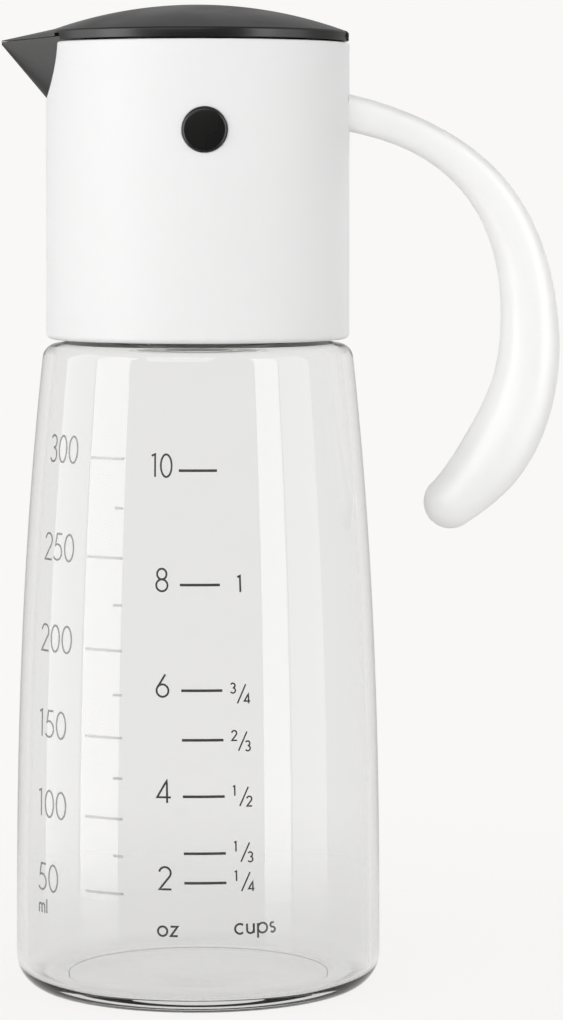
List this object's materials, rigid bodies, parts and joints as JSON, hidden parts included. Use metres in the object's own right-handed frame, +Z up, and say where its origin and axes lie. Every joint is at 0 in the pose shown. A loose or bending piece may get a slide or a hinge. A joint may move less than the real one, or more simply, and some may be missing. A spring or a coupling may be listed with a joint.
{
  "type": "olive oil dispenser",
  "caption": "Flared clear glass oil bottle with a white screw-on pouring head, open side handle, beak spout and a domed lid that a swinging weight lifts on pouring.",
  "frame": {"origin": "Centre of the bottle's flat foot, on the axis of the bottle.", "axes": "+Z up along the bottle axis, +X towards the handle with the beak at -X, +Y completes the right-handed frame, towards the back pivot cap."},
  "size_m": [0.1081, 0.0704, 0.1899],
  "materials": {
    "clear_glass": "clear, polished",
    "silicone": "translucent white, satin",
    "white_plastic": "white, satin",
    "white_gloss_plastic": "white, glossy",
    "black_plastic": "black, satin gloss",
    "charcoal_plastic": "charcoal, satin",
    "steel": "stainless, turned"
  },
  "bodies": {
    "bottle": {"glass_bottle": "clear_glass"},
    "gasket": {"neck_gasket": "silicone"},
    "head": {"threaded_collar": "white_plastic", "insert_seal": "silicone", "head_sleeve": "white_gloss_plastic", "handle": "white_gloss_plastic", "handle_screw_left": "steel", "handle_screw_right": "steel", "spout_insert": "black_plastic", "pivot_axle": "steel", "pivot_cap_front": "black_plastic", "pivot_cap_back": "black_plastic", "axle_spacer_front": "white_plastic", "axle_spacer_back": "white_plastic", "lid_hinge_pin": "steel"},
    "rocker": {"rocker": "black_plastic", "counterweight": "steel"},
    "lid": {"lid": "charcoal_plastic", "lid_liner": "black_plastic", "lid_seal": "silicone"}
  },
  "joints": [
    {"name": "head_rise", "type": "slide", "parent": "bottle", "child": "gasket", "axis": [0, 0, 1], "range_m": [0, 0.00676]},
    {"name": "head_turn", "type": "hinge", "parent": "gasket", "child": "head", "pos_m": [0, 0, 0.1406], "axis": [0, 0, 1], "range_deg": [0, 540]},
    {"name": "lid_hinge", "type": "hinge", "parent": "head", "child": "lid", "pos_m": [0.0278, 0, 0.1838], "axis": [0, 1, 0], "range_deg": [0, 20]},
    {"name": "rocker_pivot", "type": "hinge", "parent": "head", "child": "rocker", "pos_m": [0, 0, 0.1655], "axis": [0, 1, 0], "range_deg": [0, 60]}
  ],
  "couplings": [
    {"joint": "head_rise", "follows": "head_turn", "m_per_rad": 0.0007162},
    {"joint": "rocker_pivot", "follows": "lid_hinge", "ratio": 3}
  ]
}
